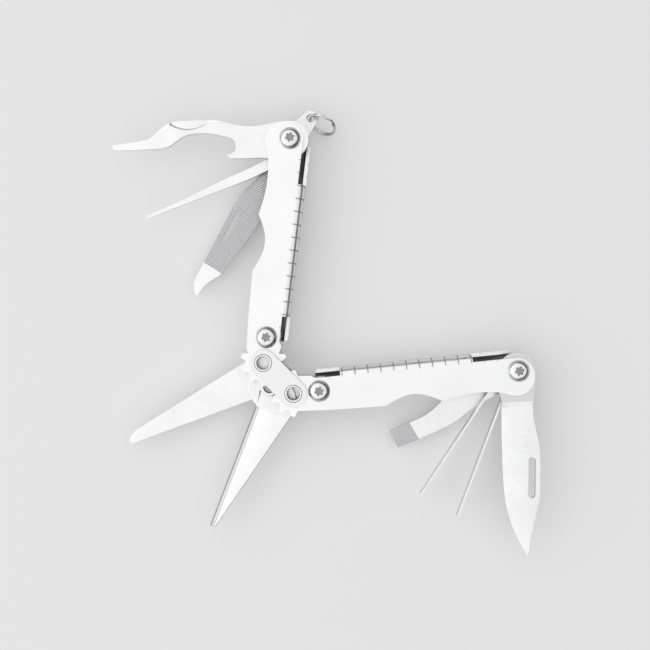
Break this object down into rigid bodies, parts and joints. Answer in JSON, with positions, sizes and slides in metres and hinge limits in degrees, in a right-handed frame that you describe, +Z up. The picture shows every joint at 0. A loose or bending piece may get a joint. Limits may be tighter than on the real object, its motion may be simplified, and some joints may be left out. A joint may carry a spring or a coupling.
{
  "type": "multi tool",
  "caption": "Flat key-ring multi tool with two geared channel handles, crossed scissor blades and small tools that fold out of the handles' far ends.",
  "frame": {"origin": "middle of the rear link plate's outer face, halfway between the two handle pivots, on the plane that the tool lies on", "axes": "+Z up through the thickness, away from the rest plane; -Y the way the scissor blades point; +X from the left pivot to the right one"},
  "size_m": [0.1435, 0.0921, 0.0109],
  "materials": {
    "handle_steel": "satin-bright stainless sheet",
    "blade_steel": "ground and brushed stainless blade stock",
    "satin_steel": "plain turned stainless fasteners and washers",
    "file_steel": "cross-cut file face",
    "ring_wire": "bright drawn wire"
  },
  "bodies": {
    "link": {"rear_link_plate": "handle_steel", "front_link_plate": "handle_steel", "left_pivot_eyelet_front": "handle_steel", "left_pivot_eyelet_rear": "handle_steel", "right_pivot_eyelet_front": "handle_steel", "right_pivot_eyelet_rear": "handle_steel"},
    "left_handle": {"left_handle": "handle_steel", "left_axle_post": "satin_steel", "left_axle_screw_front": "satin_steel", "left_axle_screw_rear": "satin_steel", "left_tang_post": "satin_steel", "left_tang_screw_front": "satin_steel", "left_tang_screw_rear": "satin_steel", "left_tang_spacer_front": "satin_steel", "left_tang_spacer_rear": "satin_steel", "pick_washer": "satin_steel"},
    "right_handle": {"right_handle": "handle_steel", "right_axle_post": "satin_steel", "right_axle_screw_front": "satin_steel", "right_axle_screw_rear": "satin_steel", "right_tang_post": "satin_steel", "right_tang_screw_front": "satin_steel", "right_tang_screw_rear": "satin_steel", "right_tang_spacer_front": "satin_steel", "right_tang_spacer_rear": "satin_steel"},
    "front_blade": {"front_scissor_blade": "blade_steel", "blade_pivot_eyelet": "handle_steel"},
    "rear_blade": {"rear_scissor_blade": "blade_steel"},
    "bottle_opener": {"bottle_opener": "blade_steel"},
    "pick": {"pick": "blade_steel"},
    "nail_file": {"nail_file": "file_steel"},
    "flat_screwdriver": {"flat_screwdriver": "blade_steel"},
    "tweezer_inner_arm": {"tweezer_inner_arm": "blade_steel"},
    "tweezer_outer_arm": {"tweezer_outer_arm": "blade_steel"},
    "knife_blade": {"knife_blade": "blade_steel"},
    "key_ring_lug": {"key_ring_lug": "satin_steel"},
    "key_ring": {"key_ring": "ring_wire"}
  },
  "joints": [
    {"name": "left_handle_swing", "type": "hinge", "parent": "link", "child": "left_handle", "pos_m": [-0.00525, 0, 0.00545], "axis": [0, 0, 1], "range_deg": [-38, 36.25]},
    {"name": "right_handle_swing", "type": "hinge", "parent": "link", "child": "right_handle", "pos_m": [0.00525, 0, 0.00545], "axis": [0, 0, -1], "range_deg": [-38, 36.25]},
    {"name": "front_blade_swing", "type": "hinge", "parent": "left_handle", "child": "front_blade", "pos_m": [-0.00919, 0.00491, 0.00545], "axis": [0, 0, 1], "range_deg": [-16, 16.5]},
    {"name": "rear_blade_swing", "type": "hinge", "parent": "right_handle", "child": "rear_blade", "pos_m": [0.00919, 0.00491, 0.00545], "axis": [0, 0, -1], "range_deg": [-16, 16.5]},
    {"name": "opener_fold", "type": "hinge", "parent": "left_handle", "child": "bottle_opener", "pos_m": [-0.03986, 0.04313, 0.00545], "axis": [0, 0, -1], "range_deg": [-78.1, 98.9]},
    {"name": "pick_fold", "type": "hinge", "parent": "left_handle", "child": "pick", "pos_m": [-0.03986, 0.04313, 0.00545], "axis": [0, 0, -1], "range_deg": [-55.2, 124.8]},
    {"name": "nail_file_fold", "type": "hinge", "parent": "left_handle", "child": "nail_file", "pos_m": [-0.03986, 0.04313, 0.00545], "axis": [0, 0, -1], "range_deg": [-23.7, 155.1]},
    {"name": "screwdriver_fold", "type": "hinge", "parent": "right_handle", "child": "flat_screwdriver", "pos_m": [0.03986, 0.04313, 0.00545], "axis": [0, 0, 1], "range_deg": [-23.5, 155.5]},
    {"name": "tweezer_fold", "type": "hinge", "parent": "right_handle", "child": "tweezer_inner_arm", "pos_m": [0.03986, 0.04313, 0.00545], "axis": [0, 0, 1], "range_deg": [-46, 114]},
    {"name": "tweezer_pinch", "type": "hinge", "parent": "tweezer_inner_arm", "child": "tweezer_outer_arm", "pos_m": [0.03986, 0.04313, 0.00545], "axis": [0, 0, 1], "range_deg": [-14.5, 0]},
    {"name": "knife_fold", "type": "hinge", "parent": "right_handle", "child": "knife_blade", "pos_m": [0.03986, 0.04313, 0.00545], "axis": [0, 0, 1], "range_deg": [-83, 92.5]},
    {"name": "lug_swing", "type": "hinge", "parent": "left_handle", "child": "key_ring_lug", "pos_m": [-0.03986, 0.04313, 0.0044], "axis": [0, 0, -1], "range_deg": [-20, 25]},
    {"name": "ring_swing", "type": "hinge", "parent": "key_ring_lug", "child": "key_ring", "pos_m": [-0.04063, 0.05073, 0.0044], "axis": [0, 0, -1], "range_deg": [-20, 15]}
  ],
  "couplings": [
    {"joint": "right_handle_swing", "follows": "left_handle_swing", "ratio": 1},
    {"joint": "front_blade_swing", "follows": "left_handle_swing", "ratio": -0.4065},
    {"joint": "rear_blade_swing", "follows": "left_handle_swing", "ratio": -0.4065}
  ]
}
